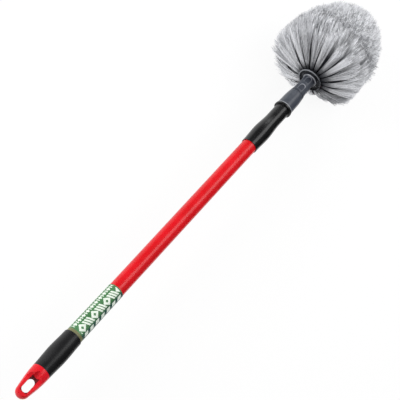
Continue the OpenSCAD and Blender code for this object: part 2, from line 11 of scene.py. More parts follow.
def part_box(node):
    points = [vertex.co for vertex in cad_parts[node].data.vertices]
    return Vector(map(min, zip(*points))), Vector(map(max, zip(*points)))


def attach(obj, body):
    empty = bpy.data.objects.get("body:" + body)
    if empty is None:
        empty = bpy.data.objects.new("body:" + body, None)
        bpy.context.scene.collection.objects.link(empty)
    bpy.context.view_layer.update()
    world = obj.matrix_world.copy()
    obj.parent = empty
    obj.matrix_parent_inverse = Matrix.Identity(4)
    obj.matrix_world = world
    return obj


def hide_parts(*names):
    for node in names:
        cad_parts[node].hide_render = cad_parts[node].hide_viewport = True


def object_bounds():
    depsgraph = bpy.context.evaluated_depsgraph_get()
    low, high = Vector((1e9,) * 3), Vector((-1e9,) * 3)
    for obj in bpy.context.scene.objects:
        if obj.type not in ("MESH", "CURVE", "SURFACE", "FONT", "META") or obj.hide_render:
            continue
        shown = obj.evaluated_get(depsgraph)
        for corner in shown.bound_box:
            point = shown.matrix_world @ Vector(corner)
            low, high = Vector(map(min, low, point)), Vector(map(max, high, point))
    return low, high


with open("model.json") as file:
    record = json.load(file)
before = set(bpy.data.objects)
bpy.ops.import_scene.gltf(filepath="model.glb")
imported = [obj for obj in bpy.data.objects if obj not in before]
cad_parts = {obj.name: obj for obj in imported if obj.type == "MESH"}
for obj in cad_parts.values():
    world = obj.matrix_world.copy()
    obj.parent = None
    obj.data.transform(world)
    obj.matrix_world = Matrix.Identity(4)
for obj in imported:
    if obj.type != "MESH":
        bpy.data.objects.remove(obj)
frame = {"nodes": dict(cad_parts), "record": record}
cad_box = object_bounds()
MM = 0.001

# Camera: the pole tips away from the picture plane, and lies across the picture at an angle
TILT = math.radians(32.0)
PICTURE_ANGLE = math.radians(47.37)
DISTANCE = 2.080
FOCAL_PX = 1373.0
PICTURE_PX = 400
SENSOR_MM = 36.0
AIM = Vector((0.4057, 0.0, 0.0))
AIM_OFFSET_RIGHT = 0.0006
AIM_OFFSET_UP = -0.0006

LOOK = Vector((math.sin(TILT), 0, -math.cos(TILT)))
POLE_WAY = Vector((math.cos(TILT), 0, math.sin(TILT)))
SIDE_WAY = Vector((0, -1, 0))
RIGHT = math.cos(PICTURE_ANGLE) * POLE_WAY + math.sin(PICTURE_ANGLE) * SIDE_WAY
UP = math.sin(PICTURE_ANGLE) * POLE_WAY - math.cos(PICTURE_ANGLE) * SIDE_WAY
TARGET = AIM + RIGHT * AIM_OFFSET_RIGHT + UP * AIM_OFFSET_UP


def make_camera():
    """A camera at the photo's angle and distance, with the photo's focal length."""
    data = bpy.data.cameras.new("camera")
    data.sensor_width = SENSOR_MM
    data.lens = FOCAL_PX / PICTURE_PX * SENSOR_MM
    camera = bpy.data.objects.new("camera", data)
    bpy.context.scene.collection.objects.link(camera)
    turn = Matrix((RIGHT, UP, -LOOK)).transposed().to_4x4()
    camera.matrix_world = Matrix.Translation(TARGET - LOOK * DISTANCE) @ turn
    bpy.context.scene.camera = camera


class Shader:
    """A material's node tree, with short ways to add nodes."""

    def __init__(self, name):
        """Starts a material of this name, with a plain surface."""
        self.material = bpy.data.materials.new(name)
        self.material.use_nodes = True
        self.tree = self.material.node_tree
        self.surface = self.tree.nodes["Principled BSDF"]
        self.place = self.node("ShaderNodeTexCoord").outputs["Object"]

    def node(self, kind, **settings):
        """Adds a node with its settings."""
        made = self.tree.nodes.new(kind)
        for key, value in settings.items():
            setattr(made, key, value)
        return made

    def put(self, value, socket):
        """Links another node's output to a socket, or gives the socket a plain value."""
        if isinstance(value, bpy.types.NodeSocket):
            self.tree.links.new(value, socket)
        else:
            socket.default_value = value

    def set(self, **values):
        """Sets inputs of the surface by their names, with _ in place of each space."""
        for key, value in values.items():
            self.put(value, self.surface.inputs[key.replace("_", " ")])

    def math(self, operation, a, b=0.0):
        """One step of arithmetic."""
        made = self.node("ShaderNodeMath", operation=operation)
        self.put(a, made.inputs[0])
        self.put(b, made.inputs[1])
        return made.outputs[0]

    def hypot(self, a, b):
        """Length of the long side of a right triangle with sides a and b."""
        return self.math("SQRT", self.math("ADD", self.math("MULTIPLY", a, a), self.math("MULTIPLY", b, b)))

    def cell(self, value, pitch):
        """Distance from the middle of the nearest of equal cells, the first of which starts at 0."""
        return self.math("SUBTRACT", self.math("FLOORED_MODULO", value, pitch), pitch / 2)

    def between(self, value, low, high, to_low=0.0, to_high=1.0):
        """Goes evenly from to_low to to_high as the value goes from low to high."""
        made = self.node("ShaderNodeMapRange")
        for name, number in zip(("Value", "From Min", "From Max", "To Min", "To Max"),
                                (value, low, high, to_low, to_high)):
            self.put(number, made.inputs[name])
        return made.outputs["Result"]

    def blend(self, share, a, b):
        """Mixes two colours, with this share of the second."""
        made = self.node("ShaderNodeMix", data_type="RGBA")
        self.put(share, made.inputs[0])
        for socket, value in ((made.inputs[6], a), (made.inputs[7], b)):
            self.put(value if isinstance(value, bpy.types.NodeSocket) else (*value, 1.0), socket)
        return made.outputs[2]

    def noise(self, scale, detail=2.0, rough=0.5, stretch=None):
        """Uneven grey. The scale is in waves to the metre, and stretch multiplies it for each axis."""
        place = self.place
        if stretch:
            mapped = self.node("ShaderNodeMapping")
            self.put(place, mapped.inputs["Vector"])
            mapped.inputs["Scale"].default_value = stretch
            place = mapped.outputs[0]
        made = self.node("ShaderNodeTexNoise")
        self.put(place, made.inputs["Vector"])
        made.inputs["Scale"].default_value = scale
        made.inputs["Detail"].default_value = detail
        made.inputs["Roughness"].default_value = rough
        return made.outputs["Fac"]

    def bump(self, height, depth):
        """Raises the surface by up to this depth where the height is 1."""
        made = self.node("ShaderNodeBump")
        made.inputs["Distance"].default_value = depth
        self.put(height, made.inputs["Height"])
        self.put(made.outputs[0], self.surface.inputs["Normal"])

    def axes(self):
        """The place on the object along x, y and z."""
        split = self.node("ShaderNodeSeparateXYZ")
        self.put(self.place, split.inputs[0])
        return split.outputs

    def turn(self):
        """Angle round the pole in radians, 0 at +Z and growing towards +Y."""
        _, y, z = self.axes()
        return self.math("ARCTAN2", y, z)

    def off_axis(self):
        """Distance from the pole's axis."""
        _, y, z = self.axes()
        return self.hypot(y, z)


# Most of a noise's values lie in the wide range, and the narrow one gives more contrast
NOISE_WIDE = (0.3, 0.7)
NOISE_NARROW = (0.35, 0.65)

# Plain finishes: scales are in waves to the metre
SLOW_SCALE = 38.0
GRAIN_DEPTH = 0.02 * MM
STEEL_SCALE = 60.0
STEEL_DEPTH = 0.01 * MM
STEEL_GLOSSIER = 0.06
STEEL_DULLER = 0.08
DRAWN_ALONG = (1.0, 40.0, 40.0)
TURNED_ROUND = (60.0, 1.0, 1.0)


def plastic(name, dark, light, rough, grain, depth=GRAIN_DEPTH, spread=0.05, specular=0.5, extra=None):
    """A moulded or painted surface: a slow change of colour, fine grain and uneven gloss."""
    s = Shader(name)
    slow = s.noise(SLOW_SCALE, detail=3.0, rough=0.6)
    fine = s.noise(grain, detail=3.0, rough=0.6)
    colour = s.blend(s.between(slow, *NOISE_NARROW), dark, light)
    gloss = s.between(fine, *NOISE_WIDE, rough - spread, rough + spread)
    if extra:
        colour, gloss = extra(s, colour, gloss)
    s.set(Base_Color=colour, Roughness=gloss, Specular_IOR_Level=specular)
    s.bump(fine, depth)
    return s.material


def steel(name, dark, light, rough, stretch):
    """Metal with fine marks from drawing or turning, which stretch along or round the pole."""
    s = Shader(name)
    marks = s.noise(STEEL_SCALE, detail=4.0, rough=0.7, stretch=stretch)
    s.set(Base_Color=s.blend(s.between(marks, *NOISE_WIDE), dark, light), Metallic=1.0)
    s.set(Roughness=s.between(marks, *NOISE_WIDE, rough - STEEL_GLOSSIER, rough + STEEL_DULLER))
    s.bump(marks, STEEL_DEPTH)
    return s.material


# Printed sleeve: places are in mm from its lower end, and a lane is the distance in mm round the
# # tube from its top. The green is darker past these lanes on the lower side: partly a darker print,
# # partly painted shade
MAIN_LANE = -1.0
UPPER_LANE = 11.2
LOWER_LANE = -12.6
BACK_LANE = 21.0
MAIN_PITCH = 28.0
MAIN_BARS = (9.5, 14.0, 18.5)
PRINT_AND_SHADE_LANES = (-7.0, -10.0)
OLIVE_END = (4.4, 4.8)
PRINT_START = (7.0, 7.3)
PRINT_END = (96.3, 96.0)
PRINT_EDGE = 0.15
FILM_SLOW_SCALE = 30.0
FILM_GRAIN_SCALE = 260.0
FILM_DEPTH = 0.04 * MM
FILM_ROUGH = (0.3, 0.42)
FILM_SPECULAR = 0.4
INK_SCALE = 150.0
INK_THIN_AT = (0.25, 0.45)
INK_THINNEST = 0.85
FILM_GREENS = ((0.045, 0.15, 0.05), (0.085, 0.24, 0.10))
FILM_PRINT_AND_SHADE_GREEN = (0.028, 0.085, 0.07)
FILM_OLIVE = (0.17, 0.17, 0.08)
FILM_WHITE = (0.76, 0.83, 0.74)


def label_film():
    """Green printed film: plain white diamonds, plus signs and slanted bars, and an olive lower edge."""
    s = Shader("label_film")
    lo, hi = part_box("label_wrap")
    radius = (hi.z - lo.z) / 2
    across = s.math("MULTIPLY", s.turn(), radius / MM)
    along = s.math("DIVIDE", s.math("SUBTRACT", s.axes()[0], lo.x), MM)
    slow = s.noise(FILM_SLOW_SCALE, detail=3.0, rough=0.6)
    green = s.blend(s.between(slow, *NOISE_WIDE), *FILM_GREENS)
    # Darker green on the lower side: partly a darker print, partly painted shade
    green = s.blend(s.between(across, *PRINT_AND_SHADE_LANES), green, FILM_PRINT_AND_SHADE_GREEN)

    def repeated(pitch, shift, lane=0.0, slant=0.0):
        """Distance along the pole from the middle of a repeated mark, which may slant in its lane."""
        moved = s.math("ADD", along, shift)
        if slant:
            moved = s.math("ADD", moved, s.math("MULTIPLY", s.math("SUBTRACT", across, lane), slant))
        return s.cell(moved, pitch)

    def past(value, half):
        """How far a point lies outside a mark of this half size."""
        return s.math("SUBTRACT", s.math("ABSOLUTE", value), half)

    def inside(distance):
        """1 where the distance past a mark's edge is below 0, and 0 outside it."""
        return s.between(distance, -PRINT_EDGE, PRINT_EDGE, 1.0, 0.0)

    def bars(pitch, shift, half_length, lane, half_height, slant=0.0):
        """Bars in one lane, a pitch apart."""
        past_side = past(s.math("SUBTRACT", across, lane), half_height)
        return inside(s.math("MAXIMUM", past(repeated(pitch, shift, lane, slant), half_length), past_side))

    def diamonds(pitch, shift, lane, half, hole):
        """Diamonds in one lane, each with a hole of its own shape."""
        u = s.math("ABSOLUTE", repeated(pitch, shift))
        v = s.math("ABSOLUTE", s.math("SUBTRACT", across, lane))
        far = s.math("ADD", u, v)
        return s.math("SUBTRACT", inside(s.math("SUBTRACT", far, half)),
                      inside(s.math("SUBTRACT", far, hole)))

    white = diamonds(MAIN_PITCH, shift=0.0, lane=MAIN_LANE, half=7.4, hole=2.6)
    marks = [bars(MAIN_PITCH, shift, 1.5, MAIN_LANE, 6.0, slant=0.5) for shift in MAIN_BARS]
    marks += [
        bars(pitch=9.4, shift=2.0, half_length=2.9, lane=UPPER_LANE, half_height=1.2),
        bars(pitch=9.4, shift=2.0, half_length=1.2, lane=UPPER_LANE, half_height=3.4),
        bars(pitch=9.4, shift=6.7, half_length=0.8, lane=UPPER_LANE, half_height=3.4),
        bars(pitch=12.6, shift=5.0, half_length=3.6, lane=LOWER_LANE, half_height=3.0, slant=-0.4),
        bars(pitch=6.0, shift=1.0, half_length=1.6, lane=BACK_LANE, half_height=3.2),
        bars(pitch=11.0, shift=3.0, half_length=3.6, lane=-BACK_LANE, half_height=2.0, slant=0.4),
    ]
    for mark in marks:
        white = s.math("MAXIMUM", white, mark)
    middle_part = s.math("MULTIPLY", s.between(along, *PRINT_START), s.between(along, *PRINT_END))
    white = s.math("MULTIPLY", white, middle_part)
    ink = s.noise(INK_SCALE, rough=0.6)
    white = s.math("MULTIPLY", white, s.between(ink, *INK_THIN_AT, INK_THINNEST, 1.0))
    printed = s.blend(white, green, FILM_WHITE)
    s.set(Base_Color=s.blend(s.between(along, *OLIVE_END, 1.0, 0.0), printed, FILM_OLIVE))
    s.set(Roughness=s.between(slow, *NOISE_WIDE, *FILM_ROUGH), Specular_IOR_Level=FILM_SPECULAR)
    s.bump(s.noise(FILM_GRAIN_SCALE), FILM_DEPTH)
    return s.material


# Painted highlights and shade on the socket. Its lip, groove and notches are placed from its lower end
LIP_W = 2 * MM
LIP_FADE = 0.2 * MM
LIP_HIGHLIGHT = 0.75
GROOVE_X = 38.5 * MM
GROOVE_SHADE_HALF = (1 * MM, 2 * MM)
GROOVE_SHADE = 0.6
NOTCH_X = 50 * MM
NOTCH_STEP = 20 * MM
NOTCH_ROWS = 2
NOTCHES_ROUND = 4
NOTCH_TURN = math.radians(10)
NOTCH_HALF_W = 4.5 * MM
NOTCH_HALF_L = 7 * MM
NOTCH_SHADE_IN = (0.1 * MM, 1.6 * MM)
NOTCH_SHADE = 0.55
NOTCH_HIGHLIGHT_HALF = (0.35 * MM, 0.75 * MM)
NOTCH_AHEAD = (1 * MM, 5 * MM)
NOTCH_SHADE_GROWS = (0.25, 1.0)
NOTCH_HIGHLIGHT_GROWS = (0.3, 0.95)
NECK_FADE = 0.1 * MM
NECK_SHADE_L = 16 * MM
NECK_SHADE = 0.75
NECK_SHADE_SIDES = (-5 * MM, 7 * MM)
NECK_SHADE_LEFT = 0.3
RING_HIGHLIGHT_W = (1.2 * MM, 1.6 * MM)
RING_HIGHLIGHT_SCALE = 260.0
RING_PATCHES = (0.3, 0.6)
RING_HIGHLIGHT = (0.4, 0.9)
RING_FADE = (0.2 * MM, 0.1 * MM)
LIP_HIGHLIGHT_GREY = (0.30, 0.31, 0.33)
NOTCH_EDGE_HIGHLIGHT = (0.36, 0.37, 0.41)
RING_HIGHLIGHT_GREY = (0.34, 0.35, 0.38)
GROOVE_SHADE_DARK = (0.03, 0.033, 0.042)
NOTCH_SHADE_DARK = (0.026, 0.028, 0.038)
NECK_SHADE_DARK = (0.012, 0.013, 0.019)


def lip_highlight_and_groove_shade(s, colour):
    """Painted highlight on the socket's raised lip, and painted shade in the groove of the neck."""
    x = s.axes()[0]
    lower_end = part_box("head_socket")[0].x
    lip_end = lower_end + LIP_W
    # Painted highlight: the lip is made paler
    colour = s.blend(s.between(x, lip_end, lip_end + LIP_FADE, LIP_HIGHLIGHT, 0.0), colour, LIP_HIGHLIGHT_GREY)
    # Painted shade: a band round the neck at the groove is made darker
    off_groove = s.math("ABSOLUTE", s.math("SUBTRACT", x, lower_end + GROOVE_X))
    return s.blend(s.between(off_groove, *GROOVE_SHADE_HALF, GROOVE_SHADE, 0.0), colour, GROOVE_SHADE_DARK)


def notch_shade_and_highlight(s, colour):
    """Painted shade darkens the notches of the neck, and a painted highlight makes their edges pale.
    Each notch has a straight end, and a round end ahead with more painted shade and highlight."""
    x = s.axes()[0]
    pitch = 2 * math.pi / NOTCHES_ROUND
    turn = s.cell(s.math("SUBTRACT", s.turn(), NOTCH_TURN - pitch / 2), pitch)
    across = s.math("ABSOLUTE", s.math("MULTIPLY", s.math("SINE", turn), s.off_axis()))
    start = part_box("head_socket")[0].x + NOTCH_X - NOTCH_STEP / 2
    end = start + NOTCH_ROWS * NOTCH_STEP
    along = s.cell(s.math("SUBTRACT", x, start), NOTCH_STEP)
    ahead = s.math("MAXIMUM", s.math("SUBTRACT", along, NOTCH_HALF_L - NOTCH_HALF_W), 0.0)
    from_side = s.math("SUBTRACT", NOTCH_HALF_W, s.hypot(ahead, across))
    from_straight_end = s.math("ADD", along, NOTCH_HALF_L)
    inside = s.math("MINIMUM", from_side, from_straight_end)
    on_neck = s.math("MULTIPLY", s.between(x, start, start + NECK_FADE),
                     s.between(x, end - NECK_FADE, end, 1.0, 0.0))

    # Painted shade inside the notches, more towards their round ends
    shade_in_notch = s.between(inside, *NOTCH_SHADE_IN, 0.0, NOTCH_SHADE)
    shade_in_notch = s.math("MULTIPLY", shade_in_notch, s.between(along, *NOTCH_AHEAD, *NOTCH_SHADE_GROWS))
    colour = s.blend(s.math("MULTIPLY", shade_in_notch, on_neck), colour, NOTCH_SHADE_DARK)
    # Painted highlight along the notch edges, brighter at their round ends
    edge = s.between(s.math("ABSOLUTE", inside), *NOTCH_HIGHLIGHT_HALF, 1.0, 0.0)
    edge = s.math("MULTIPLY", edge, s.between(along, *NOTCH_AHEAD, *NOTCH_HIGHLIGHT_GROWS))
    return s.blend(s.math("MULTIPLY", edge, on_neck), colour, NOTCH_EDGE_HIGHLIGHT)


def neck_shade_and_ring_highlight(s, colour):
    """Painted shade darkens the neck towards the hub, more on its right. A painted highlight makes
    the corner of the ring behind the hub pale in places."""
    low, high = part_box("hub_ring")
    x, y, _ = s.axes()
    # Painted shade: the neck darkens towards the hub, more on its right side
    near_hub = s.between(x, low.x - NECK_SHADE_L, low.x, 0.0, NECK_SHADE)
    right = s.between(y, *NECK_SHADE_SIDES, 1.0, NECK_SHADE_LEFT)
    colour = s.blend(s.math("MULTIPLY", near_hub, right), colour, NECK_SHADE_DARK)
    # Painted highlight: the ring's corner is made paler in patches
    off_corner = s.math("ADD", s.math("SUBTRACT", high.z, s.off_axis()), s.math("SUBTRACT", x, low.x))
    painted_highlight = s.between(s.noise(RING_HIGHLIGHT_SCALE, rough=0.6), *RING_PATCHES, *RING_HIGHLIGHT)
    painted_highlight = s.math("MULTIPLY", painted_highlight, s.between(off_corner, *RING_HIGHLIGHT_W, 1.0, 0.0))
    painted_highlight = s.math("MULTIPLY", painted_highlight, s.between(x, low.x - RING_FADE[0], low.x - RING_FADE[1]))
    return s.blend(painted_highlight, colour, RING_HIGHLIGHT_GREY)


def socket_painted_light(s, colour, gloss):
    """All the painted highlights and shade of the socket, its neck and the ring."""
    colour = lip_highlight_and_groove_shade(s, colour)
    colour = notch_shade_and_highlight(s, colour)
    return neck_shade_and_ring_highlight(s, colour), gloss


# Painted highlight and lint on the hub, and painted shade in the hanging hole
RIM_W = 1.4 * MM
RIM_EDGE = 0.1 * MM
RIM_END_X = 1 * MM
RIM_END_FADE = 0.3 * MM
RIM_SIDE_Y = 0.94
RIM_SIDE_Z = 0.34
RIM_PATCH_SCALE = 160.0
RIM_PATCH_REACH = 14 * MM
RIM_LIT_OVER = 20 * MM
RIM_HIGHLIGHT_RANGE = (0.08, 1.0)
RIM_HIGHLIGHT = (0.26, 0.27, 0.29)
HUB_LINT_L = 12 * MM
HUB_LINT = 0.7
LINT_SCALE = 420.0
LINT_FLECKS = (0.57, 0.66)
LINT_GREY = (0.30, 0.31, 0.34)
HOLE_HALF_W = 5.8 * MM
HOLE_HALF_L = 13.6 * MM
HOLE_FADE = 0.2 * MM
HOLE_SHADE = 0.85
HOLE_ROUGH = 0.9
HOLE_SHADE_RED = (0.11, 0.001, 0.004)


def hub_rim_highlight_and_lint(s, colour, gloss):
    """A painted highlight makes the rim round the hollow back of the hub pale on its lit side, in
    patches, and lint lies in the hollow."""
    low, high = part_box("hub_core")
    x, y, z = s.axes()
    rim_in = high.z - RIM_W
    rim_end = low.x + RIM_END_X
    rim = s.between(s.off_axis(), rim_in - RIM_EDGE, rim_in + RIM_EDGE)
    rim = s.math("MULTIPLY", rim, s.between(x, rim_end, rim_end + RIM_END_FADE, 1.0, 0.0))
    # Painted highlight: the rim is paler on one side, in patches
    side = s.math("ADD", s.math("MULTIPLY", y, RIM_SIDE_Y), s.math("MULTIPLY", z, RIM_SIDE_Z))
    patches = s.math("MULTIPLY", s.noise(RIM_PATCH_SCALE, rough=0.6), RIM_PATCH_REACH)
    painted_highlight = s.between(s.math("ADD", side, patches), 0.0, RIM_LIT_OVER, *RIM_HIGHLIGHT_RANGE)
    colour = s.blend(s.math("MULTIPLY", rim, painted_highlight), colour, RIM_HIGHLIGHT)
    lint = s.between(s.noise(LINT_SCALE, rough=0.7), *LINT_FLECKS, 0.0, HUB_LINT)
    behind = s.between(x, low.x, low.x + HUB_LINT_L, 1.0, 0.0)
    return s.blend(s.math("MULTIPLY", lint, behind), colour, LINT_GREY), gloss


def shaded_hole(s, colour, gloss):
    """Painted shade darkens the wall of the hanging hole, which is also made rough."""
    x, y, _ = s.axes()
    wide = s.between(s.math("ABSOLUTE", y), HOLE_HALF_W, HOLE_HALF_W + HOLE_FADE, 1.0, 0.0)
    long = s.between(s.math("ABSOLUTE", x), HOLE_HALF_L, HOLE_HALF_L + HOLE_FADE, 1.0, 0.0)
    inside = s.math("MULTIPLY", wide, long)
    # Painted shade: the hole's wall is made dark red
    colour = s.blend(s.math("MULTIPLY", inside, HOLE_SHADE), colour, HOLE_SHADE_RED)
    return colour, s.math("MAXIMUM", gloss, s.math("MULTIPLY", inside, HOLE_ROUGH))


# Fibre material: a fibre's own tone and its specks make its shade, and its tuft's tone greys it.
# The painted shade at the root ends in two steps, each a start and an end along the fibre and a share
FIBRE_DATA = "fibre"
OWN_TONE = 0.7
TUFT_TONE = 0.22
SPECK_SCALE = 420.0
SHADE_RANGE = (0.2, 0.62)
ROOT_SHADE_ENDS = ((0.05, 0.35, 0.66), (0.35, 0.75, 0.34))
TIP_FROM = 0.7
TIP_FADE = 0.2
FIBRE_ROUGH = (0.42, 0.6)
FIBRE_SPECULAR = 0.4
FIBRE_DARK = (0.15, 0.155, 0.17)
FIBRE_PALE = (0.96, 0.97, 1.0)
TUFT_GREY = (0.48, 0.49, 0.52)
ROOT_SHADE_DARK = (0.04, 0.042, 0.05)


def bristle_fibre():
    """Soft grey fibre, each a little lighter or darker, with painted shade at the root and paler tips."""
    s = Shader("bristle_fibre")
    read = s.node("ShaderNodeAttribute", attribute_name=FIBRE_DATA)
    split = s.node("ShaderNodeSeparateColor")
    s.put(read.outputs["Color"], split.inputs[0])
    share, own, tuft = split.outputs
    speck = s.noise(SPECK_SCALE, rough=0.7)
    shade = s.math("ADD", s.math("MULTIPLY", own, OWN_TONE), s.math("MULTIPLY", speck, 1 - OWN_TONE))
    fibre = s.blend(s.between(shade, *SHADE_RANGE), FIBRE_DARK, FIBRE_PALE)
    fibre = s.blend(s.between(tuft, 0.0, 1.0, 0.0, TUFT_TONE), fibre, TUFT_GREY)
    # Painted shade: each fibre darkens towards its root, deep in the tufts
    steps = [s.between(share, low, high, 0.0, gain) for low, high, gain in ROOT_SHADE_ENDS]
    root = s.blend(s.math("ADD", *steps), ROOT_SHADE_DARK, fibre)
    tip = s.blend(s.between(share, TIP_FROM, 1.0, 0.0, TIP_FADE), root, FIBRE_PALE)
    s.set(Base_Color=tip, Roughness=s.between(speck, *NOISE_WIDE, *FIBRE_ROUGH))
    s.set(Specular_IOR_Level=FIBRE_SPECULAR)
    return s.material


PLASTICS = {
    "red_plastic": dict(dark=(0.62, 0.004, 0.011), light=(0.76, 0.007, 0.019), rough=0.26, grain=700.0,
                        depth=0.008 * MM, spread=0.03, specular=0.35, extra=shaded_hole),
    "grip_rubber": dict(dark=(0.005, 0.005, 0.0055), light=(0.010, 0.010, 0.011), rough=0.36,
                        grain=1400.0, depth=0.05 * MM, spread=0.06, specular=0.36),
    "red_paint": dict(dark=(0.60, 0.0012, 0.005), light=(0.67, 0.0024, 0.0085), rough=0.27, grain=180.0,
                      depth=0.003 * MM, spread=0.03, specular=0.45),
    "collar_plastic": dict(dark=(0.005, 0.005, 0.0055), light=(0.010, 0.010, 0.0105), rough=0.24,
                           grain=1100.0, depth=0.012 * MM, spread=0.04),
    "natural_nylon": dict(dark=(0.62, 0.61, 0.55), light=(0.74, 0.73, 0.67), rough=0.45, grain=700.0),
    "lock_plastic": dict(dark=(0.03, 0.03, 0.034), light=(0.05, 0.05, 0.056), rough=0.4, grain=900.0),
    "tip_plastic": dict(dark=(0.004, 0.004, 0.0045), light=(0.008, 0.008, 0.009), rough=0.3, grain=900.0),
    "socket_plastic": dict(dark=(0.044, 0.050, 0.066), light=(0.060, 0.068, 0.086), rough=0.33,
                           grain=900.0, depth=0.012 * MM, extra=socket_painted_light),
    "hub_plastic": dict(dark=(0.004, 0.005, 0.007), light=(0.009, 0.011, 0.015), rough=0.5, grain=900.0,
                        specular=0.16, extra=hub_rim_highlight_and_lint),
}
STEELS = {
    "plated_steel": dict(dark=(0.52, 0.53, 0.55), light=(0.68, 0.69, 0.71), rough=0.24,
                         stretch=DRAWN_ALONG),
    "zinc_steel": dict(dark=(0.5, 0.5, 0.52), light=(0.64, 0.64, 0.66), rough=0.32, stretch=TURNED_ROUND),
    "anchor_wire": dict(dark=(0.5, 0.4, 0.22), light=(0.62, 0.5, 0.3), rough=0.34, stretch=TURNED_ROUND),
}


def finishes():
    """One material for each slot of the record."""
    looks = {name: plastic(name, **look) for name, look in PLASTICS.items()}
    looks.update({name: steel(name, **look) for name, look in STEELS.items()})
    looks["label_film"] = label_film()
    looks["bristle_fibre"] = bristle_fibre()
    return looks


def dress_frame(looks):
    """Gives every node of the frame the material of its slot."""
    for part in frame["record"]["subparts"]:
        piece = frame["nodes"][part["node"]]
        piece.data.materials.clear()
        piece.data.materials.append(looks[part["material_slot"]])


# The hub and its rows of holes, as in the frame's solids. Row 1 is the one nearest to the handle
HUB_LO, HUB_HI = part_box("hub_core")
HUB_R = (HUB_HI.y - HUB_LO.y) / 2
HUB_DOME_X = HUB_HI.x - HUB_R
ROW_ROOT_X = np.array([-9.5, -3.5, 0, 0, 0, 0]) * MM
ROW_ROOT_ANGLE = np.radians([0, 0, 17, 36, 55, 75])
ROW_TUFTS = [20, 20, 16, 12, 8, 5]
TUFT_HALF = 2.2 * MM
SLOT_HALF = 1.2 * MM
ROOT_DEPTH = 3.6 * MM
LEAST_ROOT_R = 4 * MM

# The trimmed dome, as in the frame's solids: it leans and drops a little, its widest ring stands
# forward on one side, and another side is pressed in. A turn round the head is 0 at +Y and grows
# towards +Z
DOME_R = 83.5 * MM
DOME_L = 138 * MM
RIM_X = HUB_LO.x + 35.5 * MM
DOME_LEAN = 7.2 * MM
DOME_DROP = 2 * MM
DOME_FORWARD = 5 * MM
DOME_POWER = 2.15
PRESS_TURN = math.radians(243)
PRESS_DEPTH = 13 * MM
PRESS_LIFT = 8 * MM
PRESS_FOCUS = 6

# Where the tips of each row lie on the dome: 90 degrees is its widest ring and 0 its front
ROW_TIP_ANGLE = np.radians([87.5, 76, 60, 43, 26, 10])
ROW_TIP_SPAN = np.radians([6.5, 8.5, 10, 10, 9, 10])
ROW_FAN = [(0.44, 0.6), (0.5, 0.66), (0.66, 0.8), (0.7, 0.85), (0.7, 0.85), (0.7, 0.9)]
# The tips of the rear rows stand further forward on one side, and end short of the dome on another
ROW_SKEW = np.radians([2.2, 0.8, 0, 0, 0, 0])
SKEW_TURN = math.radians(270)
ROW_STEP = np.array([13, 9, 0, 0, 0, 0]) * MM
STEP_TURN = math.radians(108)
STEP_FOCUS = 4
# How far the middle of a tuft's tips strays from its place in the row, as a share of the spacing
ROW_ASTRAY = [0.1, 0.1, 0, 0, 0, 0]
# How far fibres may end short of the dome, and how far each tip strays
RAGGED = 2.5 * MM
RAGGED_POWER = 1.5
STRAY = 0.8 * MM

# Locks are fibres of a tuft that cling together towards their tips. The pull is the share of the
# way that a tip moves to its lock, and it stays a little loose, round the head (P) and along it (Q)
ROW_FIBRES = [150, 150, 150, 200, 300, 480]
ROW_LOCKS = [20, 22, 45, 60, 90, 140]
ROW_LOCK_PULL = [0.25, 0.3, 0.5, 0.5, 0.5, 0.5]
LOOSE_P = 0.1
LOOSE_Q = 0.12

# Bends along a fibre: one wide bend with its knee pushed aside for each tuft, then curl and crimp
# in the outer part. Where they start is a share of the way along
KNEE = 0.42
TUFT_SWAY = 2.8 * MM
ROW_CURL = np.array([0.6, 1.5, 3.0, 3.0, 3.0, 3.0]) * MM
CURL_FROM = 0.68
CURL_POWER = 1.5
CURL_LEAST = 0.3
CURL_BACK = 0.3
ROW_CRIMP = np.array([0.4, 0.8, 1.4, 1.4, 1.4, 1.4]) * MM
CRIMP_WAVE = 9.5 * MM
CRIMP_WAVE_SPREAD = (0.75, 1.25)
CRIMP_FROM = 0.55
CRIMP_LOOSE = 0.5

# Thickness, and where along a fibre its rings of points lie: closer together where it is crimped
FIBRE_R = 0.38 * MM
FIBRE_R_SPREAD = (0.8, 1.15)
FIBRE_TAPER_AT = [0, 0.3, 0.8, 1]
FIBRE_TAPER = [0.8, 1, 0.95, 0.55]
FIBRE_RINGS = np.array([0, 0.22, 0.44, 0.62, 0.74, 0.82, 0.88, 0.94, 1.0])
# Any direction that no fibre runs along, which settles how the corners of each fibre lie
ASKEW = np.array([0.31, 0.59, 0.75])

# Split ends: how many each fibre has, the ring where they leave it, and their size
ROW_SPLITS = [0, 0, 2, 2, 2, 2]
SPLIT_FROM = 6
SPLIT_L = (7 * MM, 13 * MM)
SPLIT_R = 0.45 * MM
SPLIT_R_SPREAD = (0.8, 1.2)
SPLIT_TAPER = np.array([1.0, 1.0, 0.6])
SPLIT_RINGS = np.linspace(FIBRE_RINGS[SPLIT_FROM], 1, len(SPLIT_TAPER))
SPLIT_SPREAD = 1.4
SPLIT_BEND = 2.5 * MM

# The share of a fibre's tone that is its own: the rest is its lock's
FIBRE_TONE = 0.45
# How far up its fibres each row stays dark with painted shade. The rear rows have more painted
# # shade on one side, where their tufts are also narrower
ROW_ROOT_SHADE = [0.55, 1.2, 1.3, 1.2, 1.2, 1.2]
ROW_SIDE_SHADE = [1.1, 3.2, 0, 0, 0, 0]
ROW_FAN_LESS = [0.25, 0.1, 0, 0, 0, 0]
SHADE_TURN = math.radians(118)
SHADE_FOCUS = 2
FIRST_SEED = 100


def unit(v):
    """Vectors of the same directions, one unit long."""
    return v / np.linalg.norm(v, axis=-1, keepdims=True)


def sideways(paths):
    """Two directions square to each path and to each other, at each of its points."""
    way = unit(np.gradient(paths, axis=1))
    side = unit(np.cross(way, ASKEW))
    return side, np.cross(side, way)


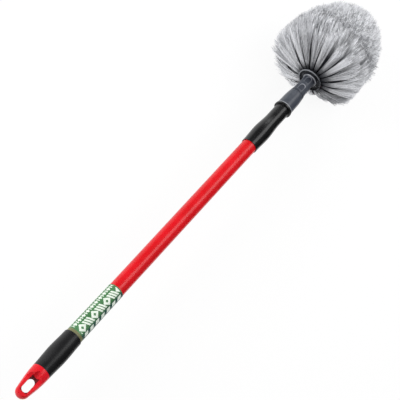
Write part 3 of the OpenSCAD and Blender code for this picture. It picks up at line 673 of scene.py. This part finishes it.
def in_unit_disc(rng, count):
    """Places spread evenly over a disc of radius 1."""
    turn = rng.uniform(0, 2 * np.pi, count)
    far = np.sqrt(rng.uniform(0, 1, count))
    return far * np.cos(turn), far * np.sin(turn)


def towards(turn, side, focus):
    """1 on one side of the head and 0 opposite it. A higher focus makes that side narrower."""
    return (0.5 + 0.5 * np.cos(turn - side)) ** focus


def shaded_side(turn):
    """1 on the side of the head with the most painted shade, 0 opposite it."""
    return towards(turn, SHADE_TURN, SHADE_FOCUS)


def dome_point(angle, turn, trim):
    """Points of the dome at an angle from its front and a turn round it, trimmed shorter."""
    along = np.sign(np.cos(angle)) * np.abs(np.cos(angle)) ** (2 / DOME_POWER)
    out = np.abs(np.sin(angle)) ** (2 / DOME_POWER)
    press = np.exp(PRESS_FOCUS * (np.cos(turn - PRESS_TURN) - 1))
    forward = DOME_FORWARD * np.sin(turn) + PRESS_LIFT * press
    r = DOME_R - trim - PRESS_DEPTH * press
    return np.stack([
        RIM_X + (DOME_L - trim) * along + forward * out,
        (r * np.cos(turn) + DOME_LEAN) * out,
        (r * np.sin(turn) - DOME_DROP) * out,
    ], -1)


def fibre_roots(row, middle, p, q):
    """Root of every fibre in its hole, its way out of the hub, and the way round the hub there."""
    out = np.array([math.sin(ROW_ROOT_ANGLE[row]), math.cos(ROW_ROOT_ANGLE[row])])
    along = np.array([out[1], -out[0]])
    place = np.array([HUB_DOME_X + ROW_ROOT_X[row] + HUB_R * out[0], HUB_R * out[1]])
    foot = place - out * ROOT_DEPTH + (q * SLOT_HALF)[:, None] * along
    turn = middle + p * TUFT_HALF / max(place[1], LEAST_ROOT_R)
    cos, sin = np.cos(turn), np.sin(turn)
    root = np.stack([foot[:, 0], foot[:, 1] * cos, foot[:, 1] * sin], -1)
    way = np.stack([np.full(len(turn), out[0]), out[1] * cos, out[1] * sin], -1)
    around = np.stack([np.zeros(len(turn)), -sin, cos], -1)
    return root, way, around


def gathered(p, q, tuft, row, rng):
    """Moves each place in a tuft part of the way to one of its locks, and gives the lock's number."""
    tufts, locks, pull = ROW_TUFTS[row], ROW_LOCKS[row], ROW_LOCK_PULL[row]
    lock_p, lock_q = in_unit_disc(rng, tufts * locks)
    lock_p, lock_q = lock_p.reshape(tufts, locks), lock_q.reshape(tufts, locks)
    far = (p[:, None] - lock_p[tuft]) ** 2 + (q[:, None] - lock_q[tuft]) ** 2
    near = np.argmin(far, 1)
    loose_p = p + rng.normal(0, LOOSE_P, len(p))
    loose_q = q + rng.normal(0, LOOSE_Q, len(p))
    keep = 1 - pull
    tip_p = loose_p * keep + lock_p[tuft, near] * pull
    tip_q = loose_q * keep + lock_q[tuft, near] * pull
    return tip_p, tip_q, tuft * locks + near


def fibre_tips(row, middle, p, q, tuft, rng):
    """Tip of every fibre, on the dome or a little short of it, and the number of its lock."""
    count, tufts = len(tuft), ROW_TUFTS[row]
    fan = rng.uniform(*ROW_FAN[row], tufts)[tuft] * (1 - ROW_FAN_LESS[row] * shaded_side(middle))
    tip_p, tip_q, lock = gathered(p, q, tuft, row, rng)
    astray = rng.normal(0, ROW_ASTRAY[row], tufts)[tuft]
    turn = middle + 2 * np.pi / tufts * (fan * tip_p + astray)
    angle = ROW_TIP_ANGLE[row] - ROW_SKEW[row] * np.cos(turn - SKEW_TURN) + ROW_TIP_SPAN[row] * tip_q
    short = RAGGED * rng.uniform(0, 1, count) ** RAGGED_POWER
    step = ROW_STEP[row] * towards(turn, STEP_TURN, STEP_FOCUS)
    tip = dome_point(angle, turn, short + step) + rng.normal(0, STRAY, (count, 3))
    return tip, lock


def crimped(paths, lock, size, rng):
    """Waves the outer part of each fibre, more towards its tip and much as the rest of its lock."""
    count, locks = len(paths), lock.max() + 1
    steps = np.linalg.norm(np.diff(paths, axis=1), axis=2)
    run = np.concatenate([np.zeros((count, 1)), np.cumsum(steps, 1)], 1)
    share = run / run[:, -1:]
    rise = np.clip((share - CRIMP_FROM) / (1 - CRIMP_FROM), 0, 1)
    side, up = sideways(paths)
    phase = rng.uniform(0, 2 * np.pi, locks)[lock] + rng.normal(0, CRIMP_LOOSE, count)
    lean = rng.uniform(0, 2 * np.pi, locks)[lock] + rng.normal(0, CRIMP_LOOSE, count)
    length = CRIMP_WAVE * rng.uniform(*CRIMP_WAVE_SPREAD, locks)[lock]
    phase, lean, length = phase[:, None], lean[:, None], length[:, None]
    swing = size * rise * np.sin(2 * np.pi * run / length + phase)
    return paths + (swing * np.cos(lean))[..., None] * side + (swing * np.sin(lean))[..., None] * up


def fibre_paths(row, rng):
    """Path of every fibre of a row, its tip before curl and crimp, and its tuft and lock."""
    tufts = ROW_TUFTS[row]
    pitch = 2 * np.pi / tufts
    tuft = np.repeat(np.arange(tufts), ROW_FIBRES[row])
    middle = (tuft + 0.5 + (row % 2) / 2) * pitch
    p, q = in_unit_disc(rng, len(tuft))
    root, way, around = fibre_roots(row, middle, p, q)
    tip, lock = fibre_tips(row, middle, p, q, tuft, rng)
    aside = around * rng.normal(0, TUFT_SWAY, tufts)[tuft][:, None]

    reach = np.linalg.norm(tip - root, axis=1)[:, None]
    knee = root + way * reach * KNEE + aside
    t = FIBRE_RINGS[None, :, None]
    paths = root[:, None] * (1 - t) ** 2 + knee[:, None] * 2 * t * (1 - t) + tip[:, None] * t ** 2
    lock_curl = unit(rng.normal(0, 1, (tufts * ROW_LOCKS[row], 3)))
    curl = lock_curl[lock] * rng.uniform(CURL_LEAST, 1, (len(tuft), 1))
    rise = np.clip((t - CURL_FROM) / (1 - CURL_FROM), 0, 1) ** CURL_POWER
    paths = paths + ROW_CURL[row] * rise * (curl - unit(way) * CURL_BACK)[:, None]
    return crimped(paths, lock, ROW_CRIMP[row], rng), tip, tuft, lock


def tubes(paths, radii):
    """Three-sided closed strands along paths of shape (strand, ring, 3), as points and faces."""
    count, rings, _ = paths.shape
    side, up = sideways(paths)
    turn = np.radians([90, 210, 330])
    corner = np.arange(3)
    points = paths[:, :, None] + radii[:, :, None, None] * (
        side[:, :, None] * np.cos(turn)[:, None] + up[:, :, None] * np.sin(turn)[:, None])
    first = np.arange(count) * rings * 3
    ring = first[:, None, None] + (np.arange(rings - 1) * 3)[None, :, None]
    low, low_next = ring + corner, ring + (corner + 1) % 3
    walls = np.stack([low, low_next, low_next + 3, low + 3], -1).reshape(-1, 4)
    start = first[:, None] + corner[::-1]
    end = first[:, None] + (rings - 1) * 3 + corner
    return points.reshape(-1, 3), walls, np.concatenate([start, end])


def split_ends(paths, splits, rng):
    """Fine ends that leave each fibre near its tip in ways of their own."""
    start = np.repeat(paths[:, SPLIT_FROM], splits, axis=0)
    way = np.repeat(unit(paths[:, -1] - paths[:, SPLIT_FROM]), splits, axis=0)
    count = len(start)
    way = unit(way + SPLIT_SPREAD * unit(rng.normal(0, 1, (count, 3))))
    end = start + way * rng.uniform(*SPLIT_L, (count, 1))
    middle = (start + end) / 2 + rng.normal(0, SPLIT_BEND / 2, (count, 3))
    return np.stack([start, middle, end], 1)


def fibre_data(rings, root_shade, own, tuft_tone):
    """What the material reads at each point of a set of fibres."""
    data = np.ones((len(own), len(rings), 3, 4))
    data[..., 0] = (rings[None] ** root_shade[:, None])[..., None]
    data[..., 1] = own[:, None, None]
    data[..., 2] = tuft_tone[:, None, None]
    return data.reshape(-1, 4)


def mesh_object(name, points, walls, ends, data):
    """A smooth mesh of fibres, with what the material reads of each point."""
    mesh = bpy.data.meshes.new(name)
    mesh.vertices.add(len(points))
    mesh.vertices.foreach_set("co", points.astype(np.float32).ravel())
    loops = np.concatenate([walls.ravel(), ends.ravel()]).astype(np.int32)
    mesh.loops.add(len(loops))
    mesh.loops.foreach_set("vertex_index", loops)
    starts = np.concatenate([np.arange(len(walls)) * 4, len(walls) * 4 + np.arange(len(ends)) * 3])
    mesh.polygons.add(len(starts))
    mesh.polygons.foreach_set("loop_start", starts.astype(np.int32))
    mesh.polygons.foreach_set("use_smooth", np.ones(len(starts), bool))
    mesh.update(calc_edges=True)
    colours = mesh.color_attributes.new(FIBRE_DATA, "FLOAT_COLOR", "POINT")
    colours.data.foreach_set("color", data.astype(np.float32).ravel())
    made = bpy.data.objects.new(name, mesh)
    bpy.context.scene.collection.objects.link(made)
    return made


def bristle_row(row, look):
    """All tufts of one row: each fans from its hole to its own patch of the dome."""
    rng = np.random.default_rng(FIRST_SEED + row)
    paths, tip, tuft, lock = fibre_paths(row, rng)
    count, tufts = len(paths), ROW_TUFTS[row]
    thick = FIBRE_R * np.interp(FIBRE_RINGS, FIBRE_TAPER_AT, FIBRE_TAPER)
    thick = thick[None] * rng.uniform(*FIBRE_R_SPREAD, (count, 1))
    own = FIBRE_TONE * rng.uniform(0, 1, count)
    own = own + (1 - FIBRE_TONE) * rng.uniform(0, 1, tufts * ROW_LOCKS[row])[lock]
    tuft_tone = rng.uniform(0, 1, tufts)[tuft]
    # Painted shade reaches further up the fibres on one side of the head
    root_shade = ROW_ROOT_SHADE[row] + ROW_SIDE_SHADE[row] * shaded_side(np.arctan2(tip[:, 2], tip[:, 1]))
    points, walls, ends = tubes(paths, thick)
    data = fibre_data(FIBRE_RINGS, root_shade, own, tuft_tone)

    splits = ROW_SPLITS[row]
    if splits:
        more = split_ends(paths, splits, rng)
        thin = SPLIT_R * SPLIT_TAPER[None] * rng.uniform(*SPLIT_R_SPREAD, (len(more), 1))
        more_points, more_walls, more_ends = tubes(more, thin)
        walls = np.concatenate([walls, more_walls + len(points)])
        ends = np.concatenate([ends, more_ends + len(points)])
        points = np.concatenate([points, more_points])
        tones = rng.uniform(0, 1, len(more))
        more_data = fibre_data(SPLIT_RINGS, np.repeat(root_shade, splits), tones, np.repeat(tuft_tone, splits))
        data = np.concatenate([data, more_data])

    made = mesh_object(f"tufts_{row + 1}", points, walls, ends, data)
    made.data.materials.append(look)
    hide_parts(f"bristle_row_{row + 1}")
    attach(made, "brush_head")


# Studio: white floor and walls, a dim ceiling, three soft lamps and a dark card
FLOOR_HALF = 6.0
FLOOR_DROP = 1.5 * MM
FLOOR_COLOUR = (0.86, 0.86, 0.86, 1.0)
FLOOR_WHITE = 0.9
WHITE = (1.0, 1.0, 1.0, 1.0)
AMBIENT_LEVEL = 0.56
WALL_TOP = math.radians(10)
CEILING_FROM = math.radians(29)
CEILING_LEVEL = 0.06
CARD_Y = -0.15
CARD_TOP = 0.22
CARD_BEHIND = 0.3
CARD_AHEAD = 0.8
CARD_COLOUR = (0.004, 0.004, 0.004, 1.0)
CARD_ROUGH = 0.9
LIT_MIDDLE = Vector((0.42, 0, 0))
LIT_HEAD = Vector((RIM_X, 0, 0))
OVERHEAD_WAY = Vector((0.53, -0.31, 0.79))
OVERHEAD_FAR = 1.25
OVERHEAD_SIZE = (0.72, 1.7)
OVERHEAD_WATTS = 8.4
KEY_WAY = Vector((-0.40, 0.72, 0.56))
KEY_FAR = 1.6
KEY_SIZE = (0.9, 0.9)
KEY_WATTS = 15.0
FRONT_WAY = Vector((0.84, 0.33, 0.43))
FRONT_FAR = 1.3
FRONT_SIZE = (0.7, 0.7)
FRONT_WATTS = 4.5


def seen_directly(tree):
    """1 for rays that show the ground itself: from the camera, a glossy surface or glass."""
    path = tree.nodes.new("ShaderNodeLightPath")
    total = path.outputs["Is Camera Ray"]
    for name in ("Is Glossy Ray", "Is Transmission Ray"):
        add = tree.nodes.new("ShaderNodeMath")
        add.operation = "MAXIMUM"
        tree.links.new(total, add.inputs[0])
        tree.links.new(path.outputs[name], add.inputs[1])
        total = add.outputs[0]
    return total


def floor_white():
    """Nearly plain white where it is seen directly, and a pale surface for the light and shadow."""
    s = Shader("floor_white")
    s.tree.nodes.remove(s.surface)
    diffuse = s.node("ShaderNodeBsdfDiffuse")
    s.put(FLOOR_COLOUR, diffuse.inputs["Color"])
    white = s.node("ShaderNodeEmission")
    s.put(WHITE, white.inputs["Color"])
    mix = s.node("ShaderNodeMixShader")
    s.put(s.math("MULTIPLY", seen_directly(s.tree), FLOOR_WHITE), mix.inputs[0])
    s.put(diffuse.outputs[0], mix.inputs[1])
    s.put(white.outputs[0], mix.inputs[2])
    s.put(mix.outputs[0], s.tree.nodes["Material Output"].inputs["Surface"])
    return s.material


def stage_object(name, corners, material):
    """A single flat face of the stage."""
    mesh = bpy.data.meshes.new(name)
    mesh.from_pydata(corners, [], [(0, 1, 2, 3)])
    mesh.materials.append(material)
    made = bpy.data.objects.new(name, mesh)
    bpy.context.scene.collection.objects.link(made)
    return made


def make_floor():
    """A wide floor just below the lowest piece."""
    low = min(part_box(node)[0].z for node in frame["nodes"]) - FLOOR_DROP
    ways = ((-1, -1), (1, -1), (1, 1), (-1, 1))
    corners = [(x * FLOOR_HALF, y * FLOOR_HALF, low) for x, y in ways]
    floor = stage_object("floor", corners, floor_white())


def make_dark_card():
    """A black studio card along the right of the brush: only its reflection shows."""
    near_x, far_x = cad_box[0][0] - CARD_BEHIND, cad_box[1][0] + CARD_AHEAD
    low = cad_box[0][2]
    s = Shader("dark_card")
    s.set(Base_Color=CARD_COLOUR, Roughness=CARD_ROUGH, Specular_IOR_Level=0.0)
    corners = [(near_x, CARD_Y, low), (far_x, CARD_Y, low), (far_x, CARD_Y, CARD_TOP),
               (near_x, CARD_Y, CARD_TOP)]
    card = stage_object("dark_card", corners, s.material)
    card.visible_camera = False
    card.visible_diffuse = False
    card.visible_shadow = False
    card.visible_transmission = False


def make_world():
    """White walls and a dimmer ceiling where they are seen, and one even level as light."""
    world = bpy.data.worlds.new("studio")
    bpy.context.scene.world = world
    world.use_nodes = True
    tree = world.node_tree
    background = tree.nodes["Background"]
    background.inputs["Color"].default_value = WHITE
    way = tree.nodes.new("ShaderNodeTexCoord").outputs["Generated"]
    split = tree.nodes.new("ShaderNodeSeparateXYZ")
    tree.links.new(way, split.inputs[0])
    wall = tree.nodes.new("ShaderNodeMapRange")
    tree.links.new(split.outputs["Z"], wall.inputs["Value"])
    wall.inputs["From Min"].default_value = math.sin(WALL_TOP)
    wall.inputs["From Max"].default_value = math.sin(CEILING_FROM)
    wall.inputs["To Min"].default_value = 1.0
    wall.inputs["To Max"].default_value = CEILING_LEVEL
    strength = tree.nodes.new("ShaderNodeMapRange")
    tree.links.new(seen_directly(tree), strength.inputs["Value"])
    strength.inputs["To Min"].default_value = AMBIENT_LEVEL
    tree.links.new(wall.outputs["Result"], strength.inputs["To Max"])
    tree.links.new(strength.outputs["Result"], background.inputs["Strength"])


def softbox(name, target, way, far, size, watts):
    """A soft rectangular lamp that faces its target, with its second side along the pole."""
    data = bpy.data.lights.new(name, "AREA")
    data.shape = "RECTANGLE"
    data.size, data.size_y = size
    data.energy = watts
    lamp = bpy.data.objects.new(name, data)
    bpy.context.scene.collection.objects.link(lamp)
    back = way.normalized()
    side = Vector((1, 0, 0)).cross(back).normalized()
    turn = Matrix((side, back.cross(side), back)).transposed().to_4x4()
    lamp.matrix_world = Matrix.Translation(target + way * far) @ turn


def make_lights():
    """One lamp over the pole, one from its left, and one in front of the bristles."""
    softbox("overhead", LIT_MIDDLE, OVERHEAD_WAY, OVERHEAD_FAR, OVERHEAD_SIZE, OVERHEAD_WATTS)
    softbox("key", LIT_MIDDLE, KEY_WAY, KEY_FAR, KEY_SIZE, KEY_WATTS)
    softbox("front", LIT_HEAD, FRONT_WAY, FRONT_FAR, FRONT_SIZE, FRONT_WATTS)


make_camera()
looks = finishes()
dress_frame(looks)
for number in range(len(ROW_TUFTS)):
    bristle_row(number, looks["bristle_fibre"])
make_floor()
make_world()
make_dark_card()
make_lights()
bpy.context.scene.view_settings.view_transform = "Standard"
